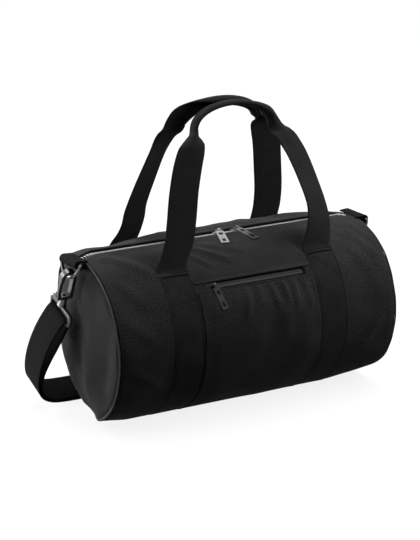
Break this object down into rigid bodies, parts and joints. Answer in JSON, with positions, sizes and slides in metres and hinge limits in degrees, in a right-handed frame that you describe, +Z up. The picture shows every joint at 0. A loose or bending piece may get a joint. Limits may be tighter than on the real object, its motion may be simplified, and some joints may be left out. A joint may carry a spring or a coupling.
{
  "type": "barrel bag",
  "caption": "Soft barrel bag lying on its side, with a full-length top zip, a zipped front pocket, two webbing carry handles and a clip-on webbing shoulder strap.",
  "frame": {"origin": "floor level below the middle of the barrel", "axes": "+X along the barrel to the right seen from the pocket, -Y towards the pocket, +Z up"},
  "size_m": [0.453, 0.2226, 0.3597],
  "materials": {
    "shell_fabric": "matte woven polyester",
    "piping_fabric": "matte covered cord",
    "lining_fabric": "thin plain lining",
    "webbing": "ribbed woven webbing, slight sheen",
    "zip_tape": "woven zip tape",
    "main_zip_teeth": "satin",
    "pocket_zip_teeth": "satin",
    "zip_metal": "satin gunmetal",
    "black_zip_metal": "satin black",
    "black_hardware": "glossy black nickel",
    "adjuster_plastic": "satin black moulded"
  },
  "bodies": {
    "bag_body": {"main_panel": "shell_fabric", "left_end_panel": "shell_fabric", "right_end_panel": "shell_fabric", "left_end_piping": "piping_fabric", "right_end_piping": "piping_fabric", "left_seam_binding": "piping_fabric", "right_seam_binding": "piping_fabric", "main_zip_tape_front": "zip_tape", "main_zip_tape_rear": "zip_tape", "main_zip_teeth_front": "main_zip_teeth", "main_zip_teeth_rear": "main_zip_teeth", "pocket_panel": "shell_fabric", "pocket_hood": "shell_fabric", "pocket_lining": "lining_fabric", "pocket_zip_tape_upper": "zip_tape", "pocket_zip_tape_lower": "zip_tape", "pocket_zip_teeth_upper": "pocket_zip_teeth", "pocket_zip_teeth_lower": "pocket_zip_teeth", "pocket_zip_end_tab_left": "zip_tape", "pocket_zip_end_tab_right": "zip_tape", "body_webbing_left": "webbing", "body_webbing_right": "webbing", "left_strap_tab": "webbing", "right_strap_tab": "webbing", "strap_rear_run": "webbing", "strap_doubled_run": "webbing"},
    "front_handle": {"front_handle": "webbing"},
    "rear_handle": {"rear_handle": "webbing"},
    "main_slider_left": {"main_zip_slider_left": "zip_metal"},
    "main_puller_left": {"main_zip_puller_left": "zip_metal"},
    "main_slider_right": {"main_zip_slider_right": "zip_metal"},
    "main_puller_right": {"main_zip_puller_right": "black_zip_metal"},
    "pocket_slider": {"pocket_zip_slider": "black_zip_metal"},
    "pocket_puller": {"pocket_zip_puller": "black_zip_metal"},
    "strap_adjuster": {"strap_adjuster": "adjuster_plastic", "strap_tail_loop": "webbing"},
    "left_ring": {"left_d_ring": "black_hardware"},
    "left_hook_loop": {"left_hook_loop": "black_hardware", "strap_left_fall": "webbing"},
    "left_hook": {"left_hook_body": "black_hardware"},
    "left_gate": {"left_hook_gate": "black_hardware"},
    "right_ring": {"right_d_ring": "black_hardware"},
    "right_hook_loop": {"right_hook_loop": "black_hardware", "strap_right_rise": "webbing"},
    "right_hook": {"right_hook_body": "black_hardware"},
    "right_gate": {"right_hook_gate": "black_hardware"}
  },
  "joints": [
    {"name": "main_slider_left_slide", "type": "slide", "parent": "bag_body", "child": "main_slider_left", "axis": [1, 0, 0], "range_m": [-0.165, 0]},
    {"name": "main_puller_left_hinge", "type": "hinge", "parent": "main_slider_left", "child": "main_puller_left", "pos_m": [0, 0, 0.2029], "axis": [-1, 0, 0], "range_deg": [0, 170]},
    {"name": "main_slider_right_slide", "type": "slide", "parent": "bag_body", "child": "main_slider_right", "axis": [1, 0, 0], "range_m": [0, 0.14]},
    {"name": "main_puller_right_hinge", "type": "hinge", "parent": "main_slider_right", "child": "main_puller_right", "pos_m": [0.025, 0, 0.2029], "axis": [-1, 0, 0], "range_deg": [0, 170]},
    {"name": "pocket_slider_slide", "type": "slide", "parent": "bag_body", "child": "pocket_slider", "axis": [1, 0, 0], "range_m": [0, 0.118]},
    {"name": "pocket_puller_hinge", "type": "hinge", "parent": "pocket_slider", "child": "pocket_puller", "pos_m": [-0.055, -0.08121, 0.16376], "axis": [-1, 0, 0], "range_deg": [0, 150]},
    {"name": "front_handle_fold", "type": "hinge", "parent": "bag_body", "child": "front_handle", "pos_m": [0, -0.06366, 0.17948], "axis": [1, 0, 0], "range_deg": [0, 140]},
    {"name": "rear_handle_fold", "type": "hinge", "parent": "bag_body", "child": "rear_handle", "pos_m": [0, 0.06366, 0.17948], "axis": [-1, 0, 0], "range_deg": [0, 140]},
    {"name": "left_strap_end_swing", "type": "hinge", "parent": "bag_body", "child": "left_hook_loop", "pos_m": [-0.1995, 0, 0.1935], "axis": [0, 1, 0], "range_deg": [-2, 40], "deforming": ["strap_left_fall"]},
    {"name": "left_ring_swing", "type": "hinge", "parent": "bag_body", "child": "left_ring", "pos_m": [-0.1995, 0, 0.1935], "axis": [0, 1, 0], "range_deg": [-2, 40]},
    {"name": "left_hook_swivel", "type": "hinge", "parent": "left_hook_loop", "child": "left_hook", "pos_m": [-0.20355, 0.01185, 0.14934], "axis": [0, -0.4067, 0.9135], "range_deg": [-20, 20]},
    {"name": "left_gate_hinge", "type": "hinge", "parent": "left_hook", "child": "left_gate", "pos_m": [-0.2113, 0.0099, 0.15372], "axis": [0, 0.9135, 0.4067], "range_deg": [0, 20], "stiffness_Nm_per_rad": 0.05},
    {"name": "right_strap_end_swing", "type": "hinge", "parent": "bag_body", "child": "right_hook_loop", "pos_m": [0.1995, 0, 0.1935], "axis": [0, -1, 0], "range_deg": [-2, 40], "deforming": ["strap_right_rise"]},
    {"name": "right_ring_swing", "type": "hinge", "parent": "bag_body", "child": "right_ring", "pos_m": [0.1995, 0, 0.1935], "axis": [0, -1, 0], "range_deg": [-2, 40]},
    {"name": "right_hook_swivel", "type": "hinge", "parent": "right_hook_loop", "child": "right_hook", "pos_m": [0.20355, 0.01185, 0.14934], "axis": [0, -0.4067, 0.9135], "range_deg": [-20, 20]},
    {"name": "right_gate_hinge", "type": "hinge", "parent": "right_hook", "child": "right_gate", "pos_m": [0.2113, 0.0099, 0.15372], "axis": [0, -0.9135, -0.4067], "range_deg": [0, 20], "stiffness_Nm_per_rad": 0.05},
    {"name": "strap_adjuster_slide", "type": "slide", "parent": "bag_body", "child": "strap_adjuster", "axis": [1, 0, 0], "range_m": [-0.1, 0], "deforming": ["strap_doubled_run"]}
  ],
  "couplings": [
    {"joint": "left_ring_swing", "follows": "left_strap_end_swing", "ratio": 1},
    {"joint": "right_ring_swing", "follows": "right_strap_end_swing", "ratio": 1}
  ]
}
